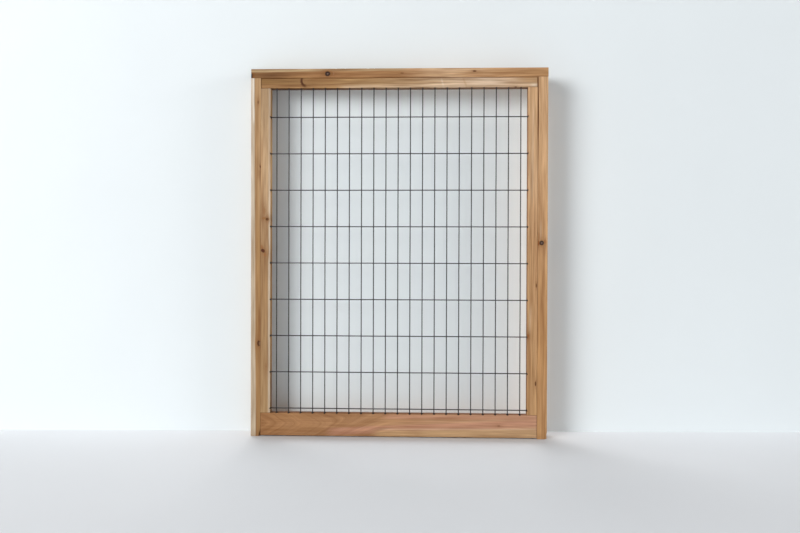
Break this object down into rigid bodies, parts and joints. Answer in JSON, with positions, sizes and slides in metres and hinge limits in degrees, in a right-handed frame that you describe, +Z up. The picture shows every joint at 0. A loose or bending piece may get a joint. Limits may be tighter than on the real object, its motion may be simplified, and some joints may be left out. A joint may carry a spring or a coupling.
{
  "type": "hog wire fence panel",
  "caption": "Cedar-framed wire fence panel: posts under a flat cap, with a grooved inner frame of rails and stiles that holds a black welded mesh.",
  "frame": {"origin": "middle of the left post's outer side face, where the panel is screwed to a fence post", "axes": "+X along the fence from the left post to the right one, +Y from the front to the back, +Z up"},
  "size_m": [1.235, 0.095, 1.536],
  "materials": {
    "cedar_post": "planed, unsealed",
    "cedar_cap": "planed, unsealed",
    "cedar_rail": "planed, unsealed",
    "cedar_stile": "planed, unsealed",
    "black_wire": "satin black coating"
  },
  "bodies": {
    "root": {"left_post": "cedar_post", "right_post": "cedar_post", "top_cap": "cedar_cap", "top_rail": "cedar_rail", "bottom_rail": "cedar_rail", "left_stile": "cedar_stile", "right_stile": "cedar_stile", "wire_mesh": "black_wire"}
  },
  "joints": []
}
